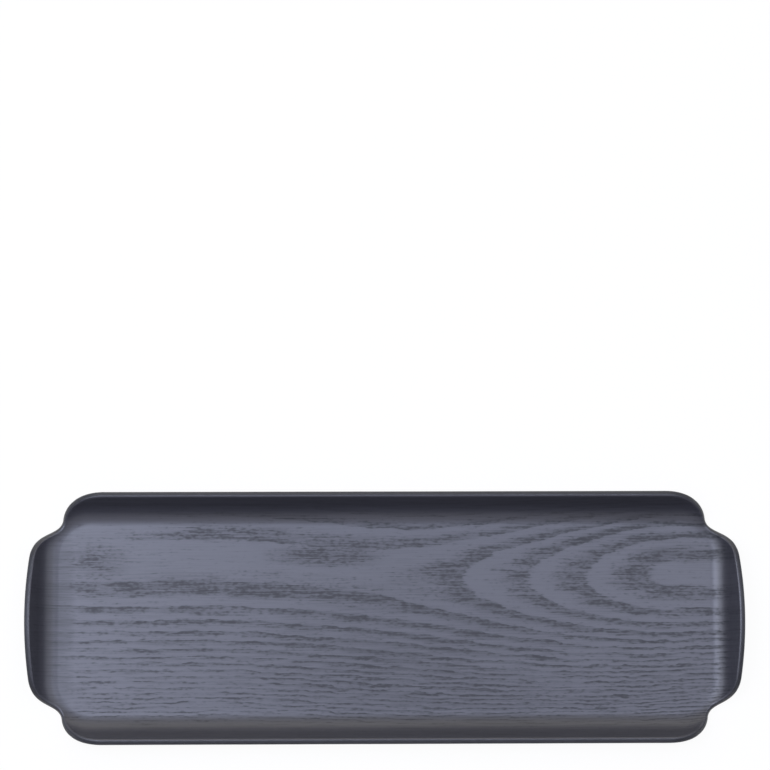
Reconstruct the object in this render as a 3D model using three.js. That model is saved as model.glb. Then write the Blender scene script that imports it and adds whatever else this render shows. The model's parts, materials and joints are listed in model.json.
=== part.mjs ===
// A form-pressed serving board, in millimetres, +Z up.
// Five veneers are glued between a pair of moulds, so that one bent sheet makes the floor and four flared walls.
// The corners are notched before pressing, which lets each wall turn up by itself.
// The origin is at the middle of the underside, +X runs along the board and +Y across it.
import * as THREE from "three";

// Overall size, over the rims
const BOARD_LENGTH = 440;
const BOARD_WIDTH = 154;
const BOARD_HEIGHT = 21;

// The pressed section, taken square to a wall
const WALL_ANGLE = THREE.MathUtils.degToRad(65);
const BEND_RADIUS = 14; // at the upper face, between floor and wall
const FLOOR_CORNER_RADIUS = 14; // of the line in plan where the bend begins
const RIM_ROUND = 1.5; // round on both arrises of the rim

// The veneers, from the upper face down, with the glue line left between neighbours
const FACE_VENEER = 0.6;
const UPPER_CROSSBAND = 0.8;
const CORE_VENEER = 0.8;
const LOWER_CROSSBAND = 0.8;
const BACK_VENEER = 0.6;
const GLUE_LINE = 0.1;

// The rim in plan: each long rim is straight and each end rim bows out
const END_BOW = 2.25; // how far an end rim's middle stands out beyond its shoulders
const LONG_SHOULDER = 48; // a long rim begins to fall this far from the board's end
const LONG_SHOULDER_HANDLE = 22;
const END_SHOULDER = 40; // an end rim begins to fall this far from the board's side
const END_SHOULDER_HANDLE = 18;

// The corner notch: where a long rim turns into it, and how it sweeps on to the end rim
const NOTCH_FROM_END = 22.3;
const NOTCH_FROM_SIDE = 15.8;
const NOTCH_ANGLE = THREE.MathUtils.degToRad(83); // of the rim there, from the board's length
const NOTCH_LEAD_IN = 3.6;
const NOTCH_LEAD_OUT = 10.7;

// How finely curved stretches are divided
const LONG_RIM_STEPS = 2;
const SHOULDER_STEPS = 6;
const NOTCH_STEPS = 9;
const BOW_STEPS = 3;
const BEND_STEPS = 4;
const WALL_STEPS = 2;

const PLIES = [
  { name: "face_veneer", thickness: FACE_VENEER, edgeSteps: 2, color: 0x4a4d57, roughness: 0.42 },
  { name: "upper_crossband", thickness: UPPER_CROSSBAND, edgeSteps: 1, color: 0x3a3a40, roughness: 0.7 },
  { name: "core_veneer", thickness: CORE_VENEER, edgeSteps: 1, color: 0x45454c, roughness: 0.7 },
  { name: "lower_crossband", thickness: LOWER_CROSSBAND, edgeSteps: 1, color: 0x3a3a40, roughness: 0.7 },
  { name: "back_veneer", thickness: BACK_VENEER, edgeSteps: 2, color: 0x42454e, roughness: 0.48 },
];
const SHEET = PLIES.reduce((sum, ply) => sum + ply.thickness, GLUE_LINE * (PLIES.length - 1));

// The rim's round is a circle of RIM_ROUND set back from the cut edge at each face.
// Straight wall between the bend and the upper circle's centre, from the height of that circle's top
const FULL_STRAIGHT =
  (BOARD_HEIGHT - SHEET - RIM_ROUND - BEND_RADIUS + (BEND_RADIUS + RIM_ROUND) * Math.cos(WALL_ANGLE)) /
  Math.sin(WALL_ANGLE);
const LOWER_CENTRE_RADIUS = BEND_RADIUS + SHEET - RIM_ROUND; // lower circle's centre, from the bend's axis
const BEND_REACH = LOWER_CENTRE_RADIUS * Math.sin(WALL_ANGLE);
const WALL_REACH = BEND_REACH + FULL_STRAIGHT * Math.cos(WALL_ANGLE) + RIM_ROUND;
const BEND_LENGTH = BEND_RADIUS * WALL_ANGLE;
const FULL_LENGTH = BEND_LENGTH + FULL_STRAIGHT + RIM_ROUND;

// The rectangle round which the floor's corners and the walls are drawn
const CORNER_X = BOARD_LENGTH / 2 - WALL_REACH - FLOOR_CORNER_RADIUS;
const CORNER_Y = BOARD_WIDTH / 2 - WALL_REACH - FLOOR_CORNER_RADIUS;

// One quarter of the rim in plan, from the middle of a long rim to the middle of an end rim
function quarterRim() {
  const halfLength = BOARD_LENGTH / 2;
  const halfWidth = BOARD_WIDTH / 2;
  const longShoulder = new THREE.Vector2(halfLength - LONG_SHOULDER, halfWidth);
  const endShoulder = new THREE.Vector2(halfLength - END_BOW, halfWidth - END_SHOULDER);
  const notch = new THREE.Vector2(halfLength - NOTCH_FROM_END, halfWidth - NOTCH_FROM_SIDE);
  const along = new THREE.Vector2(Math.cos(NOTCH_ANGLE), -Math.sin(NOTCH_ANGLE));
  const bowControl = new THREE.Vector2(halfLength, endShoulder.y / 2);
  const bowTangent = endShoulder.clone().sub(bowControl).normalize();
  const stretches = [
    [new THREE.LineCurve(new THREE.Vector2(0, halfWidth), longShoulder), LONG_RIM_STEPS],
    [
      new THREE.CubicBezierCurve(
        longShoulder,
        longShoulder.clone().add(new THREE.Vector2(LONG_SHOULDER_HANDLE, 0)),
        notch.clone().addScaledVector(along, -NOTCH_LEAD_IN),
        notch,
      ),
      SHOULDER_STEPS,
    ],
    [
      new THREE.CubicBezierCurve(
        notch,
        notch.clone().addScaledVector(along, NOTCH_LEAD_OUT),
        endShoulder.clone().addScaledVector(bowTangent, END_SHOULDER_HANDLE),
        endShoulder,
      ),
      NOTCH_STEPS,
    ],
    [new THREE.QuadraticBezierCurve(endShoulder, bowControl, new THREE.Vector2(halfLength, 0)), BOW_STEPS],
  ];
  return stretches.flatMap(([curve, steps]) => curve.getSpacedPoints(steps).slice(1));
}

// The whole rim, anticlockwise from the end of +X: each quarter is the last one's mirror image
function wholeRim() {
  const quarter = quarterRim().reverse();
  const turnedBack = quarter.slice(1).reverse();
  const half = [...quarter, new THREE.Vector2(0, BOARD_WIDTH / 2)];
  for (const p of turnedBack) half.push(new THREE.Vector2(-p.x, p.y));
  return [...half, ...half.map((p) => new THREE.Vector2(-p.x, -p.y))];
}

// A column of the sheet: where the bend begins, which way the wall leans and how long it is
function columnAt(rimPoint) {
  const centre = new THREE.Vector2(
    THREE.MathUtils.clamp(rimPoint.x, -CORNER_X, CORNER_X),
    THREE.MathUtils.clamp(rimPoint.y, -CORNER_Y, CORNER_Y),
  );
  const outward = rimPoint.clone().sub(centre);
  const reach = outward.length() - FLOOR_CORNER_RADIUS - RIM_ROUND;
  outward.normalize();
  const inBend = reach <= BEND_REACH;
  const turned = inBend ? Math.asin(reach / LOWER_CENTRE_RADIUS) : WALL_ANGLE;
  const straight = inBend ? 0 : (reach - BEND_REACH) / Math.cos(WALL_ANGLE);
  return {
    foot: centre.clone().addScaledVector(outward, FLOOR_CORNER_RADIUS),
    outward,
    length: BEND_RADIUS * turned + straight + RIM_ROUND,
  };
}

// A point of the pressed sheet, so far up a column and so deep below the upper face
function sheetPoint(column, upColumn, depth) {
  const turned = Math.min(upColumn / BEND_RADIUS, WALL_ANGLE);
  const straight = Math.max(upColumn - BEND_LENGTH, 0);
  const out = (BEND_RADIUS + depth) * Math.sin(turned) + straight * Math.cos(turned);
  const up = BEND_RADIUS - (BEND_RADIUS + depth) * Math.cos(turned) + straight * Math.sin(turned);
  const plan = column.foot.clone().addScaledVector(column.outward, out);
  return new THREE.Vector3(plan.x, plan.y, SHEET + up);
}

// How far the rounded rim is set back from its furthest point, at a depth below the upper face
function rimSetBack(depth) {
  const fromFace = Math.min(depth, SHEET - depth);
  const fromCentre = Math.max(RIM_ROUND - fromFace, 0);
  return RIM_ROUND - Math.sqrt(RIM_ROUND ** 2 - fromCentre ** 2);
}

// The shares of a column's length at which its faces are divided, closer in the bend
function rowShares() {
  const bendShare = BEND_LENGTH / FULL_LENGTH;
  const shares = [];
  for (let i = 0; i <= BEND_STEPS; i++) shares.push((bendShare * i) / BEND_STEPS);
  for (let i = 1; i <= WALL_STEPS; i++) shares.push(bendShare + ((1 - bendShare) * i) / WALL_STEPS);
  return shares;
}

// One veneer between two depths: up its upper face, round the rim and down its lower face
function veneerGeometry(columns, top, bottom, edgeSteps) {
  const shares = rowShares();
  const faceRow = (depth) => (share) =>
    columns.map((c) => sheetPoint(c, share * (c.length - rimSetBack(depth)), depth));
  const rows = shares.map(faceRow(top));
  for (let i = 1; i < edgeSteps; i++) {
    const depth = THREE.MathUtils.lerp(top, bottom, i / edgeSteps);
    rows.push(columns.map((c) => sheetPoint(c, c.length - rimSetBack(depth), depth)));
  }
  rows.push(...shares.map(faceRow(bottom)).reverse());

  // Both faces are split along the same diagonals, so that neighbouring veneers stay parallel
  const points = rows.flat();
  const count = columns.length;
  const lowerFace = rows.length - shares.length;
  const faces = [];
  for (let row = 0; row < rows.length - 1; row++) {
    for (let i = 0; i < count; i++) {
      const next = (i + 1) % count;
      const [a, b] = [row * count + i, row * count + next];
      const [c, d] = [a + count, b + count];
      if (row < lowerFace) faces.push(a, c, b, b, c, d);
      else faces.push(a, c, d, a, d, b);
    }
  }
  const floor = THREE.ShapeUtils.triangulateShape(columns.map((c) => c.foot), []);
  const lowerFloor = (rows.length - 1) * count;
  for (const [a, b, c] of floor) {
    faces.push(a, b, c);
    faces.push(lowerFloor + a, lowerFloor + c, lowerFloor + b);
  }
  const geometry = new THREE.BufferGeometry().setFromPoints(points).setIndex(faces);
  geometry.computeVertexNormals();
  return geometry;
}

const board = new THREE.Group();
board.name = "serving_board";
const columns = wholeRim().map(columnAt);
let depth = 0;
for (const ply of PLIES) {
  const geometry = veneerGeometry(columns, depth, depth + ply.thickness, ply.edgeSteps);
  const material = new THREE.MeshStandardMaterial({
    color: ply.color,
    roughness: ply.roughness,
    metalness: 0,
  });
  const mesh = new THREE.Mesh(geometry, material);
  mesh.name = ply.name;
  board.add(mesh);
  depth += ply.thickness + GLUE_LINE;
}

export default board;
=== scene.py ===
# %% [markdown]
# # A form-pressed serving board
# The board is one bent sheet of plywood: five veneers, glued and pressed between two halves of a mould until
# the floor and the four flared walls set in one piece. This lesson follows the workshop. Each veneer is cut
# flat, its blank is pressed by a formula that stands for the mould, and the stained wood is drawn on the
# flat sheet, so that the grain runs unbroken from the floor up the walls.

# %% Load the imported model
import json
import math

import bmesh
import bpy
from mathutils import Color, Matrix, Vector
from mathutils.geometry import interpolate_bezier


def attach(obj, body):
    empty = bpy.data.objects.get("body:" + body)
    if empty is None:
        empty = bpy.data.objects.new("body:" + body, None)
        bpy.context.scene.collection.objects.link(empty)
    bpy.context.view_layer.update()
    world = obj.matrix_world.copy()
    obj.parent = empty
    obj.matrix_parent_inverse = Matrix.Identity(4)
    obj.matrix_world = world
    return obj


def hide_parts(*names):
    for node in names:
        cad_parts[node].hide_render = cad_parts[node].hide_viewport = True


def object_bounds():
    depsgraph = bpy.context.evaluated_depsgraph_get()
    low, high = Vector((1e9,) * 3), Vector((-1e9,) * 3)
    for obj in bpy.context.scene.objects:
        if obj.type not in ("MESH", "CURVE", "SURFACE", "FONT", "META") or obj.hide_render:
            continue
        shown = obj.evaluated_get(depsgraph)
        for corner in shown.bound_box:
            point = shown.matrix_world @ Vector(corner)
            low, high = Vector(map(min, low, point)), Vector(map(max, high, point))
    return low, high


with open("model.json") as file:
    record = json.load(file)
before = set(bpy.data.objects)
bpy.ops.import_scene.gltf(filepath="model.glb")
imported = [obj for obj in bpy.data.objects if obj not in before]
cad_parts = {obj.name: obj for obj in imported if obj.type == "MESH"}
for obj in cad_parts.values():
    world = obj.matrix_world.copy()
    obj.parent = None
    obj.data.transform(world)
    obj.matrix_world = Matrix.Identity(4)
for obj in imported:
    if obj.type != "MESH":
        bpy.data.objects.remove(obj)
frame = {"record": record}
cad_low, cad_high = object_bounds()
MM = 0.001
print("CAD box in mm:", [round(side / MM, 2) for side in cad_high - cad_low])

# %% [markdown]
# ## The pressed section
# Seen in section, the sheet lies flat, turns up in a round bend and runs straight to a rounded rim. A
# drawing of it needs only a bend radius, a wall angle and the sheet's thickness. The overall length, width
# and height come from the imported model, so the visual board fills the same box.

# %% Sizes of the sheet
BOARD_LENGTH, BOARD_WIDTH, BOARD_HEIGHT = cad_high - cad_low
WALL_ANGLE = math.radians(65)
BEND_RADIUS = 14 * MM  # at the upper face, between floor and wall
FLOOR_CORNER_RADIUS = 19 * MM  # of the line in plan where the bend begins
RIM_ROUND = 1.5 * MM
GLUE_LINE = 0.1 * MM
VENEERS = {
    "face_veneer": 0.6 * MM,
    "upper_crossband": 0.8 * MM,
    "core_veneer": 0.8 * MM,
    "lower_crossband": 0.8 * MM,
    "back_veneer": 0.6 * MM,
}
SHEET = sum(VENEERS.values()) + GLUE_LINE * (len(VENEERS) - 1)
print("sheet thickness in mm:", round(SHEET / MM, 2))

# %% How far the walls reach
rise = BOARD_HEIGHT - SHEET - RIM_ROUND - BEND_RADIUS
rise += (BEND_RADIUS + RIM_ROUND) * math.cos(WALL_ANGLE)
full_straight = rise / math.sin(WALL_ANGLE)
lower_centre = BEND_RADIUS + SHEET - RIM_ROUND
bend_reach = lower_centre * math.sin(WALL_ANGLE)
wall_reach = bend_reach + full_straight * math.cos(WALL_ANGLE) + RIM_ROUND
bend_length = BEND_RADIUS * WALL_ANGLE
floor_end = BOARD_LENGTH / 2 - wall_reach
floor_side = BOARD_WIDTH / 2 - wall_reach
print("walls reach out by mm:", round(wall_reach / MM, 2))

# %% [markdown]
# ## The rim in plan
# Seen from above, the long rims are straight, the end rims bow out a little, and at each corner the rim
# sweeps down into a notch. That sweep could be traced point by point, but two smooth curves with handles
# give it with a handful of sizes, as a bent spline does on a drawing board.

# %% Sizes of the rim
END_BOW = 2.25 * MM
LONG_SHOULDER = 48 * MM
LONG_SHOULDER_HANDLE = 22 * MM
END_SHOULDER = 40 * MM
END_SHOULDER_HANDLE = 18 * MM
NOTCH_FROM_END = 22.3 * MM
NOTCH_FROM_SIDE = 15.8 * MM
NOTCH_ANGLE = math.radians(83)
NOTCH_LEAD_IN = 3.6 * MM
NOTCH_LEAD_OUT = 10.7 * MM
half_length, half_width = BOARD_LENGTH / 2, BOARD_WIDTH / 2
long_middle = Vector((0, half_width))
long_shoulder = Vector((half_length - LONG_SHOULDER, half_width))
notch = Vector((half_length - NOTCH_FROM_END, half_width - NOTCH_FROM_SIDE))
end_shoulder = Vector((half_length - END_BOW, half_width - END_SHOULDER))
end_middle = Vector((half_length, 0))
print("notch at mm:", [round(side / MM, 1) for side in notch])

# %% One quarter of the rim, then its mirror images
LONG_RIM_STEPS = 12
SHOULDER_STEPS = 36
NOTCH_STEPS = 44
BOW_STEPS = 14
ONE_CONTROL_TO_TWO = 2 / 3  # how far towards a curve's single control point its two handles lie


def quarter_rim():
    """Points of the rim in plan, from the middle of a long rim to the middle of an end rim."""
    along = Vector((math.cos(NOTCH_ANGLE), -math.sin(NOTCH_ANGLE)))
    bow_control = Vector((half_length, end_shoulder.y / 2))
    bow_tangent = (end_shoulder - bow_control).normalized()
    shoulder_handle = long_shoulder + Vector((LONG_SHOULDER_HANDLE, 0))
    lead_in = notch - along * NOTCH_LEAD_IN
    lead_out = notch + along * NOTCH_LEAD_OUT
    end_handle = end_shoulder + bow_tangent * END_SHOULDER_HANDLE
    bow_start = end_shoulder.lerp(bow_control, ONE_CONTROL_TO_TWO)
    bow_end = end_middle.lerp(bow_control, ONE_CONTROL_TO_TWO)
    stretches = [
        (long_middle, long_middle, long_shoulder, long_shoulder, LONG_RIM_STEPS),
        (long_shoulder, shoulder_handle, lead_in, notch, SHOULDER_STEPS),
        (notch, lead_out, end_handle, end_shoulder, NOTCH_STEPS),
        (end_shoulder, bow_start, bow_end, end_middle, BOW_STEPS),
    ]
    points = []
    for start, first_handle, second_handle, end, steps in stretches:
        points += interpolate_bezier(start, first_handle, second_handle, end, steps + 1)[:-1]
    return points + [end_middle]


quarter = quarter_rim()
half = quarter + [Vector((p.x, -p.y)) for p in quarter[-2::-1]]
rim = half + [Vector((-p.x, p.y)) for p in half[-2:0:-1]]
print("points round the rim:", len(rim))

# %% [markdown]
# ## Columns and the mould
# Think of the wall as columns standing side by side round the floor. Each has a foot where the bend begins,
# a direction in which it leans out and a length measured on the flat sheet. The mould is then one formula:
# it takes a point of the flat sheet and returns its place once pressed. A lattice or a bend modifier could
# do one wall, but not four that meet in a notch.

# %% The flat column under a point of the rim
corner_x = floor_end - FLOOR_CORNER_RADIUS
corner_y = floor_side - FLOOR_CORNER_RADIUS


def nearest_centre(point):
    """The nearest point of the rectangle round which the floor's corners are drawn."""
    x = max(-corner_x, min(corner_x, point.x))
    y = max(-corner_y, min(corner_y, point.y))
    return Vector((x, y))


def column(rim_point):
    """Foot, direction and flat length of the column that ends at a rim point."""
    centre = nearest_centre(rim_point)
    outward = rim_point - centre
    reach = outward.length - FLOOR_CORNER_RADIUS - RIM_ROUND
    turned = math.asin(min(reach / lower_centre, math.sin(WALL_ANGLE)))
    straight = max(reach - bend_reach, 0) / math.cos(WALL_ANGLE)
    foot = centre + outward.normalized() * FLOOR_CORNER_RADIUS
    return foot, outward.normalized(), BEND_RADIUS * turned + straight + RIM_ROUND


columns = [column(point) for point in rim]
lengths = [length for foot, outward, length in columns]
print("flat wall length in mm, least and most:", [round(pick(lengths) / MM, 2) for pick in (min, max)])


# %% The mould
def pressed(flat):
    """Where the mould puts a point of the flat sheet, whose z is minus its depth below the upper face."""
    centre = nearest_centre(flat)
    outward = flat.xy - centre
    up_wall = max(outward.length - FLOOR_CORNER_RADIUS, 0)
    if up_wall == 0:
        return Vector((flat.x, flat.y, SHEET + flat.z))
    turned = min(up_wall / BEND_RADIUS, WALL_ANGLE)
    straight = max(up_wall - bend_length, 0)
    radius = BEND_RADIUS - flat.z
    out = radius * math.sin(turned) + straight * math.cos(turned)
    up = BEND_RADIUS - radius * math.cos(turned) + straight * math.sin(turned)
    plan = centre + outward.normalized() * (FLOOR_CORNER_RADIUS + out)
    return Vector((plan.x, plan.y, SHEET + up))


foot, outward, length = columns[0]
lifted = pressed((foot + outward * length).to_3d())
print("before its rim is rounded, a long wall rises to mm:", round(lifted.z / MM, 2))

# %% [markdown]
# ## Cutting and pressing a veneer
# A veneer starts as a ring of vertices just inside the floor's edge. The ring is extruded along the flat
# upper face to the rim, over the rim's round, and back along the lower face, and the two floors are then
# filled. Only after that is every vertex pressed. Its place on the flat sheet is kept as an attribute,
# because the grain of the wood belongs to the sheet and bends with it.

# %% The rounded rim
ROUND_STEP = math.radians(9)


def set_back(depth):
    """How far the rounded rim stands back from its furthest point at a depth below the upper face."""
    from_face = min(depth, SHEET - depth)
    from_centre = max(RIM_ROUND - from_face, 0)
    return RIM_ROUND - math.sqrt(RIM_ROUND**2 - from_centre**2)


def edge_depths(top, bottom):
    """Depths between two faces at which the rim's round is divided into even turns."""
    turn = 0
    depths = []
    while turn < math.pi / 2:
        from_face = RIM_ROUND * (1 - math.cos(turn))
        depths += [from_face, SHEET - from_face]
        turn += ROUND_STEP
    return sorted(depth for depth in depths if top < depth < bottom)


print("rows over the whole rim:", len(edge_depths(0, SHEET)))

# %% A row of places, and a ring drawn out to it
FACE_ROWS = 34
FLOOR_MARGIN = 3 * MM
FLOOR_ROW = -1  # stands for the row that lies inside the floor's edge by the margin
RIM_ROW = 1
COLUMN = "column"
FLAT_SHEET = "flat_sheet"
face_rows = [FLOOR_ROW] + [row / FACE_ROWS for row in range(FACE_ROWS + 1)]


def row_places(share, depth):
    """Places on the flat sheet at a depth, that share of the way up each column."""
    places = []
    for foot, outward, length in columns:
        up_wall = -FLOOR_MARGIN if share == FLOOR_ROW else share * (length - set_back(depth))
        places.append((foot + outward * up_wall).to_3d() - Vector((0, 0, depth)))
    return places


def extruded_ring(bm, ring, places):
    """Extrudes a closed ring of edges and puts the new vertices at their columns' places."""
    column_of = bm.verts.layers.int[COLUMN]
    made = bmesh.ops.extrude_edge_only(bm, edges=ring)["geom"]
    fresh = {v for v in made if isinstance(v, bmesh.types.BMVert)}
    for vert in fresh:
        vert.co = places[vert[column_of]]
    return [e for e in made if isinstance(e, bmesh.types.BMEdge) and fresh.issuperset(e.verts)]


print("rows up each face:", len(face_rows))


# %% A flat blank
def flat_blank(bm, top, bottom):
    """Cuts a veneer between two depths, still flat. Returns the upper and lower arris of its rim."""
    column_of = bm.verts.layers.int[COLUMN]
    corners = [bm.verts.new(place) for place in row_places(FLOOR_ROW, top)]
    for index, vert in enumerate(corners):
        vert[column_of] = index
    upper_floor = [bm.edges.new((corners[i - 1], corners[i])) for i in range(len(corners))]
    ring = upper_floor
    for share in face_rows[1:]:
        ring = extruded_ring(bm, ring, row_places(share, top))
    upper_arris = ring
    for depth in edge_depths(top, bottom):
        ring = extruded_ring(bm, ring, row_places(RIM_ROW, depth))
    ring = extruded_ring(bm, ring, row_places(RIM_ROW, bottom))
    lower_arris = ring
    for share in reversed(face_rows[:-1]):
        ring = extruded_ring(bm, ring, row_places(share, bottom))
    for floor in (upper_floor, ring):
        bmesh.ops.edgeloop_fill(bm, edges=floor)
    return upper_arris, lower_arris


# %% A whole veneer
def into_scene(name, data):
    """A new object of the scene, at the origin."""
    made = bpy.data.objects.new(name, data)
    bpy.context.scene.collection.objects.link(made)
    return made


def made_of(bm, name):
    """The object made of a bmesh, which is then let go."""
    mesh = bpy.data.meshes.new(name)
    bm.to_mesh(mesh)
    bm.free()
    return into_scene(name, mesh)


def veneer(name, top, bottom):
    """A veneer between two depths, cut flat and then pressed, with its flat places kept."""
    bm = bmesh.new()
    column_of = bm.verts.layers.int.new(COLUMN)
    flat_place = bm.verts.layers.float_vector.new(FLAT_SHEET)
    upper_arris, lower_arris = flat_blank(bm, top, bottom)
    for vert in bm.verts:
        vert[flat_place] = vert.co
        vert.co = pressed(vert.co)
    bmesh.ops.recalc_face_normals(bm, faces=bm.faces)
    for face in bm.faces:
        face.smooth = True
    glued = (upper_arris if top > 0 else []) + (lower_arris if bottom < SHEET else [])
    for edge in glued:
        edge.smooth = False
    bm.verts.layers.int.remove(column_of)
    return made_of(bm, name)


# %% [markdown]
# ## Five veneers in a stack
# The glue squeezes out to almost nothing, and lacquer closes the rim over it. So each visible veneer
# takes up its glue line, down to a hair's breadth above the next one, where the solids keep them apart.

# %% Press the stack
HAIRLINE = 0.005 * MM
pieces = {}
depth = 0.0
for node, thickness in VENEERS.items():
    bottom = min(depth + thickness + GLUE_LINE - HAIRLINE, SHEET)
    pieces[node] = veneer(node + "_pressed", depth, bottom)
    depth += thickness + GLUE_LINE
    print(node, "faces:", len(pieces[node].data.polygons))

# %% [markdown]
# ## Writing shaders as sums
# A pattern is arithmetic on places: how far along the sheet, how far across, how deep. Linking Math nodes by
# hand hides that arithmetic, so one small class wraps a socket and lets plus, minus, times and divide add
# the nodes. Everything else that a material needs comes from one method that makes any node.


# %% A socket that does sums
class Wire:
    """A value on the surface. Sums with it add Math nodes to its finish."""

    def __init__(self, finish, socket):
        self.finish = finish
        self.socket = socket

    def math(self, operation, *others):
        """A Math node that takes this value first."""
        values = dict(enumerate((self, *others)))
        return self.finish.node("ShaderNodeMath", {"operation": operation}, values)

    def __add__(self, other):
        return self.math("ADD", other)

    def __sub__(self, other):
        return self.math("SUBTRACT", other)

    def __rsub__(self, other):
        return self.finish.node("ShaderNodeMath", {"operation": "SUBTRACT"}, {0: other, 1: self})

    def __mul__(self, other):
        return self.math("MULTIPLY", other)

    def __truediv__(self, other):
        return self.math("DIVIDE", other)

    __radd__ = __add__
    __rmul__ = __mul__

    def fade(self, start, end):
        """0 at start and 1 at end, easing in and out, whichever of the two is larger."""
        values = {"Value": self, "From Min": start, "From Max": end}
        return self.finish.node("ShaderNodeMapRange", {"interpolation_type": "SMOOTHSTEP"}, values)


# %% A material that makes nodes
MIX_SHARE, MIX_FIRST, MIX_SECOND, MIXED = 0, 6, 7, 2  # a Mix node's sockets when it mixes colours


class Finish:
    """A material and the nodes that draw it."""

    def __init__(self, name):
        self.material = bpy.data.materials.new(name)
        self.material.use_nodes = True
        self.tree = self.material.node_tree
        self.shader = self.tree.nodes["Principled BSDF"]

    def node(self, kind, settings, values, output=0):
        """Adds a node: its settings first, then its sockets' values or links."""
        made = self.tree.nodes.new(kind)
        for name, value in settings.items():
            setattr(made, name, value)
        self.plug(made, values)
        return Wire(self, made.outputs[output])

    def plug(self, made, values):
        """Sets a node's sockets, or links those whose value is a wire."""
        for key, value in values.items():
            if isinstance(value, Wire):
                self.tree.links.new(value.socket, made.inputs[key])
            else:
                made.inputs[key].default_value = value

    def mix(self, share, first, second):
        """From the first colour to the second, as share goes from 0 to 1."""
        values = {MIX_SHARE: share, MIX_FIRST: first, MIX_SECOND: second}
        return self.node("ShaderNodeMix", {"data_type": "RGBA"}, values, MIXED)


# %% [markdown]
# ## The sheet's own coordinates
# Every finish reads the attribute kept from the flat sheet, in millimetres. Wood is drawn with noise that is
# stretched along the grain: long and narrow for pores, longer and wider for the drift of a growth ring.

# %% Places on the sheet, and noise along the grain
MIDDLE = 0.5  # of the noise, which runs from about 0 to 1


def sheet_places(finish):
    """How far along, across and below the upper face, in millimetres of the flat sheet."""
    flat = finish.node("ShaderNodeAttribute", {"attribute_name": FLAT_SHEET}, {}, "Vector")
    along, across, height = [finish.node("ShaderNodeSeparateXYZ", {}, {0: flat}, axis) for axis in range(3)]
    return along / MM, across / MM, height / -MM


def streaks(finish, along, across, long, wide, seed, detail=2.0):
    """Noise whose blots are so long and so wide, in millimetres."""
    place = finish.node("ShaderNodeCombineXYZ", {}, {0: along / long, 1: across / wide, 2: seed})
    return finish.node("ShaderNodeTexNoise", {}, {"Vector": place, "Scale": 1.0, "Detail": detail})


# %% [markdown]
# ## The figure of the face veneer
# The face veneer is sliced flat from a log, so the growth rings, which are nested cones, cut the sheet in
# pointed arches. Counting rings is enough to draw them: the count falls along the line of the pith, where
# the arches have their points, and rises with the distance from that line, nearly as its square. The line
# itself wanders, and the rings lie wider apart at the left end. Places here are in millimetres from the
# middle of the sheet.

# %% Growth rings
ARCH_AT = 161.4  # where the count is 0 on the pith's line
ARCH_SPACING = 35.3
ARCHES_LEFT, LEFT_EASE = 3.8, 2.2  # the count grows no further to the left
ARCHES_RIGHT, RIGHT_EASE = -0.07, 0.7  # and falls no further to the right
ARCH_POWER = 2.12
PITH_LEFT, PITH_RIGHT, PITH_FALLS = 35.8, 24.4, (-110.0, 63.0)  # the line, across the sheet
PITH_RISE, PITH_RISES = 2.9, (90.0, 200.0)
REACH_LEFT, REACH_RIGHT, REACH_SHRINKS = 24.7, 20.4, (-117.0, 249.0)  # from the line to the next ring
TOOTH, TOOTH_MM = {"long": 6.0, "wide": 1.1, "seed": 8.2}, 9.0
LUMPS, LUMPS_MM = {"long": 9.0, "wide": 4.5, "seed": 4.6}, 3.0
WANDER, WANDER_MM = {"long": 34.0, "wide": 5.0, "seed": 3.7}, 3.6


def growth_rings(finish, along, across):
    """The count of growth rings at a point, and its distance from the pith's line."""
    tooth = (streaks(finish, along, across, **TOOTH) - MIDDLE) * TOOTH_MM
    lumps = (streaks(finish, along, across, **LUMPS) - MIDDLE) * LUMPS_MM
    wander = (streaks(finish, along, across, **WANDER) - MIDDLE) * WANDER_MM + lumps
    rings = (ARCH_AT - along - tooth) / ARCH_SPACING
    rings = rings.math("SMOOTH_MIN", ARCHES_LEFT, LEFT_EASE)
    rings = rings.math("SMOOTH_MAX", ARCHES_RIGHT, RIGHT_EASE)
    pith = PITH_LEFT + along.fade(*PITH_FALLS) * (PITH_RIGHT - PITH_LEFT)
    pith = pith + along.fade(*PITH_RISES) * PITH_RISE
    reach = REACH_LEFT + along.fade(*REACH_SHRINKS) * (REACH_RIGHT - REACH_LEFT)
    aside = (across + wander - pith).math("ABSOLUTE")
    return rings + (aside / reach).math("POWER", ARCH_POWER), aside


print("growth rings along the pith's line:", round(ARCHES_LEFT - ARCHES_RIGHT, 2))

# %% [markdown]
# ## Where the pores crowd
# Each ring starts with a crowded band of open pores, sharp on its inner side, that thins out again. No count
# of rings gives the uneven rest, so a few oval patches are laid over it: pockets of pores, a corner of clear
# wood, and two soft dark patches. The broad one on the middle of the floor is partly the wood's darker tone
# and partly a painted dark reflection; the narrow one across the left end's bend is painted shade. Pressing
# closes the pores as well: on the left they end before the bend, along the sides they close in it, and on
# the right they run on through it.

# %% Patches laid over the rings
POCKETS = [
    {"along": -184.0, "across": 36.0, "long": 30.0, "wide": 15.0, "lean": 0.0, "share": 0.6},
    {"along": -36.0, "across": 38.5, "long": 44.0, "wide": 8.0, "lean": 0.0, "share": 1.0},
    {"along": -72.0, "across": 20.5, "long": 105.0, "wide": 10.0, "lean": -0.05, "share": 0.42},
]
CLEAR_WOOD = {"along": -192.0, "across": 58.0, "long": 75.0, "wide": 17.0, "lean": 0.0, "share": 1.0}
TONE_AND_PAINTED_SHADE_PATCHES = [
    # Broad patch mid-floor: partly the wood's darker tone, partly a painted dark reflection in the sheen.
    {"along": 22.0, "across": -24.0, "long": 120.0, "wide": 46.0, "lean": 0.0, "share": 0.24},
    # Narrow band over the left end's floor edge and bend: painted shade that dims its sheen there.
    {"along": -199.0, "across": 0.0, "long": 10.0, "wide": 80.0, "lean": 0.0, "share": 0.5},
]


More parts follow.
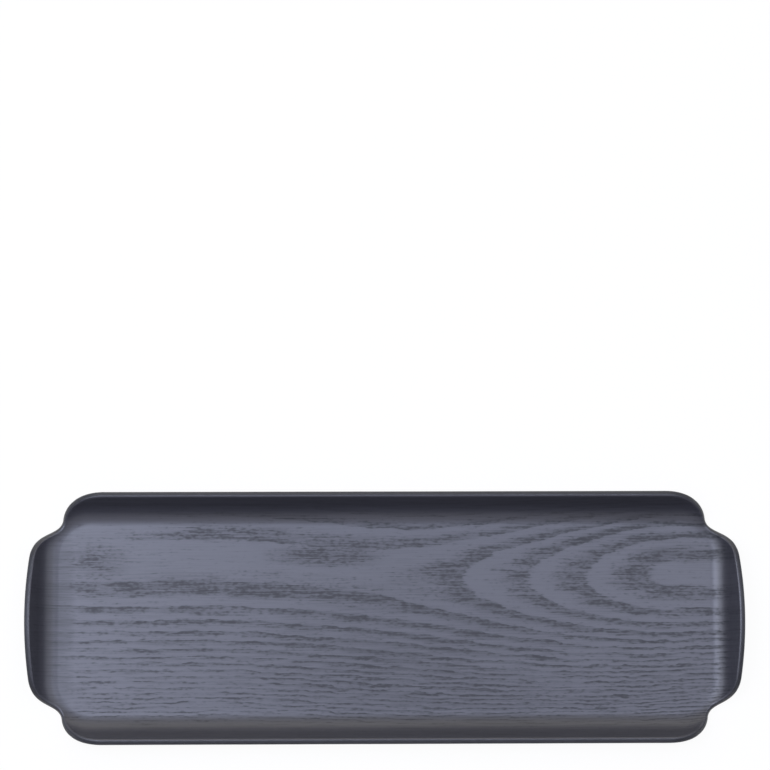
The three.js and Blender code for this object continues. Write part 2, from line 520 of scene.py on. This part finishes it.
def patch(along, across, spot):
    """An oval patch of the sheet: its full share at the middle, nothing outside."""
    off_along = along - spot["along"]
    off_across = across - spot["across"] - off_along * spot["lean"]
    far_along = (off_along / spot["long"]).math("POWER", 2)
    far_across = (off_across / spot["wide"]).math("POWER", 2)
    inside = (1 - far_along - far_across).math("MAXIMUM", 0)
    return inside * spot["share"]


print("patches:", len(POCKETS) + len(TONE_AND_PAINTED_SHADE_PATCHES) + 1)

# %% Crowded pores, and pores that the press has closed
BAND_STARTS, BAND_ENDS = (0.0, 0.1), (0.85, 0.2)  # shares of a ring
DENSEST = 0.88
UNEVEN, UNEVEN_FADE = {"long": 22.0, "wide": 3.5, "seed": 7.7}, (0.25, 0.7)
UNEVEN_LEAST, UNEVEN_MORE = 0.5, 0.7
THINNER, THINNER_ASIDE, FULL_AGAIN_RIGHT = 0.22, (20.0, 52.0), (90.0, 170.0)
CLOSED = 0.65
CLOSES_LEFT, CLOSES_RIGHT, CLOSES_SIDE = (-14.0, -1.0), (7.0, 17.0), (0.0, 12.0)  # past the floor's edge


def crowding(finish, along, across):
    """How crowded the open pores are, from 0 on clear wood to the densest pocket."""
    rings, aside = growth_rings(finish, along, across)
    ring = rings.math("FRACT")
    uneven = streaks(finish, along, across, **UNEVEN).fade(*UNEVEN_FADE) * UNEVEN_MORE + UNEVEN_LEAST
    thinner = aside.fade(*THINNER_ASIDE) * (1 - along.fade(*FULL_AGAIN_RIGHT)) * THINNER
    crowd = ring.fade(*BAND_STARTS) * ring.fade(*BAND_ENDS) * ((1 - thinner) * uneven)
    crowd = crowd * (1 - patch(along, across, CLEAR_WOOD))
    for spot in POCKETS:
        crowd = (crowd + patch(along, across, spot)).math("MINIMUM", DENSEST)
    return crowd


def pressed_shut(along, across):
    """How far the press has closed the pores: not at all on the floor, mostly once up a wall."""
    left = (-floor_end / MM - along).fade(*CLOSES_LEFT)
    right = (along - floor_end / MM).fade(*CLOSES_RIGHT)
    side = (across.math("ABSOLUTE") - floor_side / MM).fade(*CLOSES_SIDE)
    return left.math("MAXIMUM", right).math("MAXIMUM", side) * CLOSED


print("floor's edge in mm, end and side:", round(floor_end / MM, 1), round(floor_side / MM, 1))

# %% [markdown]
# ## Stain and lacquer
# The near-black stain soaks deepest into the pores, so crowded wood is darker. Over it lies a satin lacquer.
# One shader could be made glossier instead, but the film has a sheen of its own, apart from the dull wood
# below, so it is the shader's coat, and it is thinner where it has sunk into the pores. The pores are
# grooves, and a bump takes them a few hundredths of a millimetre into the surface.


# %% Colours of the stain
def stain(red, green, blue):
    """A colour as a picture shows it, from 0 to 255, in the renderer's own linear values."""
    shown = Color((red / 255, green / 255, blue / 255))
    return (*shown.from_srgb_to_scene_linear(), 1.0)


SMOOTH_WOOD = stain(52, 52, 59)
PORE_WOOD = stain(30, 31, 35)
END_WOOD = stain(46, 46, 52)
print("smooth wood in linear values:", [round(value, 4) for value in SMOOTH_WOOD])

# %% Lacquer over open-pored wood
STAIN_FADE = (-0.3, 1.15)
FILM_FADE, FILM_THINS = (-0.1, 1.2), 0.8
WOOD_ROUGHNESS, PORE_ROUGHER = 0.48, 0.14
LACQUER_ROUGHNESS = 0.36
PORE_DEPTH, FIBRE_HEIGHT = 0.05, 0.02
BUMP_STRENGTH = 0.3


def lacquered(finish, dark, pores, fibre, rough):
    """Stains wood by its darkness, sinks its pores and lays the lacquer over it."""
    colour = finish.mix(dark.fade(*STAIN_FADE), SMOOTH_WOOD, PORE_WOOD)
    film = 1 - dark.fade(*FILM_FADE) * FILM_THINS
    height = (1 - pores) * PORE_DEPTH + fibre * FIBRE_HEIGHT
    bump = {"Strength": BUMP_STRENGTH, "Distance": MM, "Height": height}
    normal = finish.node("ShaderNodeBump", {}, bump)
    finish.plug(finish.shader, {"Base Color": colour, "Roughness": rough, "Normal": normal})
    finish.plug(finish.shader, {"Coat Weight": film, "Coat Roughness": LACQUER_ROUGHNESS})
    return finish.material


print("share of the film left in the darkest pores:", round(1 - FILM_THINS, 2))

# %% Stained and lacquered face
DASHES = {"long": 15.0, "wide": 0.9, "seed": 1.3, "detail": 1.0}
SPECKS = {"long": 3.4, "wide": 1.5, "seed": 2.9, "detail": 1.0}
FIBRE = {"long": 26.0, "wide": 0.9, "seed": 5.1}
CLOUD, CLOUD_DARK = {"long": 90.0, "wide": 30.0, "seed": 6.4}, 0.6
PORE_MIX, PORE_CROWD, PORE_EDGE = 0.5, 0.17, (0.53, 0.82)
PORE_DARK, CROWD_DARK = 0.7, 0.5
FIBRE_ROUGHER = 0.08


def stained_face():
    """The figured face: crowded pores along the rings, fine fibre, slow clouds of stain and painted shade.
    """
    finish = Finish("stained_face")
    along, across, _ = sheet_places(finish)
    still_open = 1 - pressed_shut(along, across)
    crowd = crowding(finish, along, across) * still_open
    dashes = streaks(finish, along, across, **DASHES)
    specks = streaks(finish, along, across, **SPECKS)
    pores = (dashes * PORE_MIX + specks * PORE_MIX + crowd * PORE_CROWD).fade(*PORE_EDGE) * still_open
    fibre = streaks(finish, along, across, **FIBRE)
    drift = (streaks(finish, along, across, **CLOUD) - MIDDLE) * CLOUD_DARK
    # The dark patches add painted shade and a painted dark reflection to the stain's clouds.
    for spot in TONE_AND_PAINTED_SHADE_PATCHES:
        drift = drift + patch(along, across, spot)
    dark = pores * PORE_DARK + crowd * CROWD_DARK + (fibre - MIDDLE) + drift
    rough = WOOD_ROUGHNESS + pores * PORE_ROUGHER + (fibre - MIDDLE) * FIBRE_ROUGHER
    return lacquered(finish, dark, pores, fibre, rough)


finishes = {"stained_face": stained_face()}
print("nodes in the face's finish:", len(finishes["stained_face"].node_tree.nodes))

# %% [markdown]
# ## The underside and the inner plies
# The back veneer is a plainer, straight-grained sheet under the same stain, so its rings are straight lines
# that drift a little. The inner plies show only as the rim's edge: their ends drink more stain and lacquer
# than the faces, so they are darker and duller, with fine lines along the glue.

# %% Stained back
BACK_RING = 4.2
BACK_DRIFT, BACK_DRIFT_RINGS = {"long": 140.0, "wide": 22.0, "seed": 2.2}, 3.0
BACK_DASHES = {"long": 11.0, "wide": 0.6, "seed": 7.3, "detail": 1.5}
BACK_FIBRE, BACK_FIBRE_DARK = {"long": 30.0, "wide": 1.0, "seed": 4.1}, 0.9
BACK_BAND_STARTS, BACK_BAND_ENDS = (0.0, 0.08), (0.8, 0.2)
BACK_PORE_CROWD, BACK_PORE_EDGE = 0.18, (0.6, 0.7)
BACK_PORE_DARK, BACK_CROWD_DARK = 0.6, 0.3


def stained_back():
    """The plain back: straight rings of even width, with short pores."""
    finish = Finish("stained_back")
    along, across, _ = sheet_places(finish)
    drift = (streaks(finish, along, across, **BACK_DRIFT) - MIDDLE) * BACK_DRIFT_RINGS
    ring = (across / BACK_RING + drift).math("FRACT")
    crowd = ring.fade(*BACK_BAND_STARTS) * ring.fade(*BACK_BAND_ENDS)
    dashes = streaks(finish, along, across, **BACK_DASHES)
    pores = (dashes + crowd * BACK_PORE_CROWD).fade(*BACK_PORE_EDGE)
    fibre = streaks(finish, along, across, **BACK_FIBRE)
    dark = pores * BACK_PORE_DARK + crowd * BACK_CROWD_DARK + (fibre - MIDDLE) * BACK_FIBRE_DARK
    return lacquered(finish, dark, pores, fibre, WOOD_ROUGHNESS + pores * PORE_ROUGHER)


finishes["stained_back"] = stained_back()
print("nodes in the back's finish:", len(finishes["stained_back"].node_tree.nodes))

# %% Ply ends at the rim
END_GRAIN = {"long": 3.0, "wide": 0.15, "seed": 9.4}
END_STAIN_FADE = (0.2, 0.75)
END_LACQUER, END_FILM_FADE, END_FILM_THINS = 0.55, (0.3, 0.9), 0.6
END_ROUGHNESS, END_ROUGHER = 0.5, 0.15


def ply_edge():
    """The ends of the inner plies, lined along the rim."""
    finish = Finish("ply_edge")
    along, across, below = sheet_places(finish)
    grain = streaks(finish, along + across, below, **END_GRAIN)
    colour = finish.mix(grain.fade(*END_STAIN_FADE), END_WOOD, PORE_WOOD)
    film = END_LACQUER * (1 - grain.fade(*END_FILM_FADE) * END_FILM_THINS)
    finish.plug(finish.shader, {"Base Color": colour, "Roughness": END_ROUGHNESS + grain * END_ROUGHER})
    finish.plug(finish.shader, {"Coat Weight": film, "Coat Roughness": LACQUER_ROUGHNESS})
    return finish.material


finishes["inner_ply"] = ply_edge()
print("nodes in the ply ends' finish:", len(finishes["inner_ply"].node_tree.nodes))

# %% [markdown]
# ## Dressing the pieces
# Each veneer takes the finish that the record names for its node, and stands in that node's place. Nothing
# on the board moves, so all of them ride on its one body.

# %% Dress the pieces
slots = {row["node"]: row["material_slot"] for row in frame["record"]["subparts"]}
for node, piece in pieces.items():
    piece.data.materials.append(finishes[slots[node]])
    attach(piece, "root")
    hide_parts(node)
    print(piece.name, "wears", slots[node])

# %% [markdown]
# ## The table
# The board lies on white paper. More light would make the paper white but wash out the stain. So the paper
# mostly glows for the rays that look at it, straight or by reflection, and the small share that is left is
# lit like any surface and keeps the board's soft shadow.

# %% A white table
TABLE_REACH = 6.0
TABLE_GLOW = 0.94
WHITE = (1.0, 1.0, 1.0, 1.0)
PAPER_WHITE = (0.92, 0.92, 0.92, 1.0)
PAPER_ROUGHNESS = 0.9
bm = bmesh.new()
bmesh.ops.create_grid(bm, x_segments=1, y_segments=1, size=TABLE_REACH)
table = made_of(bm, "table")
paper = Finish("white_paper")
paper.plug(paper.shader, {"Base Color": PAPER_WHITE, "Roughness": PAPER_ROUGHNESS})
seen_by = [f"Is {kind} Ray" for kind in ("Camera", "Glossy", "Transmission")]
camera_ray, glossy_ray, through_ray = [paper.node("ShaderNodeLightPath", {}, {}, name) for name in seen_by]
seen = (camera_ray + glossy_ray + through_ray).math("MINIMUM", 1)
lit = Wire(paper, paper.shader.outputs["BSDF"])
glow = paper.node("ShaderNodeEmission", {}, {"Color": WHITE, "Strength": 1.0})
surface = paper.node("ShaderNodeMixShader", {}, {0: seen * TABLE_GLOW, 1: lit, 2: glow})
paper.plug(paper.tree.nodes["Material Output"], {"Surface": surface})
table.data.materials.append(paper.material)
print("table reaches out by m:", TABLE_REACH)

# %% [markdown]
# ## Light
# On each side stand a wide softbox and a smaller one nearer overhead. Most of what is seen of the floor is
# their sheen on the lacquer: it is brightest at the left end and comes back as a bright line in the bend at
# the right end. The walls lean out of the sheen and fall dark. Two warm fills from behind lift the front
# wall, and a weak, cool one from the front lifts the back wall. A bright sky would lift all four alike, so
# the world stays dim.

# %% Lamps
LAMP_DISTANCE = 1.7
SKY = 0.06


def softbox(name, right, back, side, power, tint):
    """A square lamp of that side, so many degrees to the right and back of overhead, aimed at the board."""
    lamp = bpy.data.lights.new(name, "AREA")
    lamp.shape = "SQUARE"
    lamp.size = side
    lamp.energy = power
    lamp.color = tint
    towards = Vector((math.tan(math.radians(right)), math.tan(math.radians(back)), 1)).normalized()
    holder = into_scene(name, lamp)
    holder.location = towards * LAMP_DISTANCE
    holder.rotation_euler = (-towards).to_track_quat("-Z", "Y").to_euler()
    print(name, "of", power, "W")


softbox("left_softbox", right=-36, back=10, side=1.3, power=13.5, tint=(0.95, 1.0, 1.2))
softbox("right_softbox", right=38, back=12, side=1.4, power=8.0, tint=(0.97, 1.0, 1.16))
softbox("near_left_softbox", right=-17, back=6, side=0.7, power=7.2, tint=(0.92, 1.0, 1.34))
softbox("near_right_softbox", right=13, back=6, side=0.5, power=3.6, tint=(0.92, 1.0, 1.34))
softbox("back_fill", right=0, back=67, side=2.6, power=11.4, tint=(1.06, 1.0, 0.87))
softbox("low_back_fill", right=0, back=79, side=1.6, power=5.0, tint=(1.04, 1.0, 0.92))
softbox("front_fill", right=0, back=-38, side=1.5, power=4.0, tint=(1.02, 1.0, 1.1))
world = bpy.data.worlds.new("studio")
world.use_nodes = True
world.node_tree.nodes["Background"].inputs["Color"].default_value = WHITE
world.node_tree.nodes["Background"].inputs["Strength"].default_value = SKY
bpy.context.scene.world = world
bpy.context.scene.view_settings.view_transform = "Standard"

# %% [markdown]
# ## The camera
# The picture looks almost straight down through a long lens, with the board low in the frame. A shifted lens
# would place it there too, but a turned camera keeps the lens plain. It is set up looking at the board's
# middle and then turned until that middle lies at its pixel.

# %% Camera
PICTURE = 770
FOCAL_PIXELS = 3245
BOARD_AT_X, BOARD_AT_Y = 383.9, 618.8
DISTANCE = 2.0
LEAN_RIGHT = math.radians(-1.1)
LEAN_FRONT = math.radians(3.0)
ROLL = math.radians(-0.23)
SENSOR_WIDTH = 36

to_camera = Vector((math.tan(LEAN_RIGHT), -math.tan(LEAN_FRONT), 1.0))
eye = to_camera * DISTANCE


def picture_axes(back):
    """Right, up and back axes of a picture whose camera looks along -back, with +Y upwards."""
    right = Vector((0, 1, 0)).cross(back).normalized()
    return right, back.cross(right), back


right, up, back = picture_axes(to_camera.normalized())
aside = (BOARD_AT_X - PICTURE / 2) / FOCAL_PIXELS
above = -(BOARD_AT_Y - PICTURE / 2) / FOCAL_PIXELS
right, up, back = picture_axes((back + right * aside + up * above).normalized())
turn = Matrix((right, up, back)).transposed() @ Matrix.Rotation(ROLL, 3, "Z")

camera_data = bpy.data.cameras.new("camera")
camera_data.sensor_width = SENSOR_WIDTH
camera_data.lens = FOCAL_PIXELS / PICTURE * SENSOR_WIDTH
camera = into_scene("camera", camera_data)
camera.matrix_world = Matrix.Translation(eye) @ turn.to_4x4()
bpy.context.scene.camera = camera
print("camera at", [round(v, 3) for v in eye])
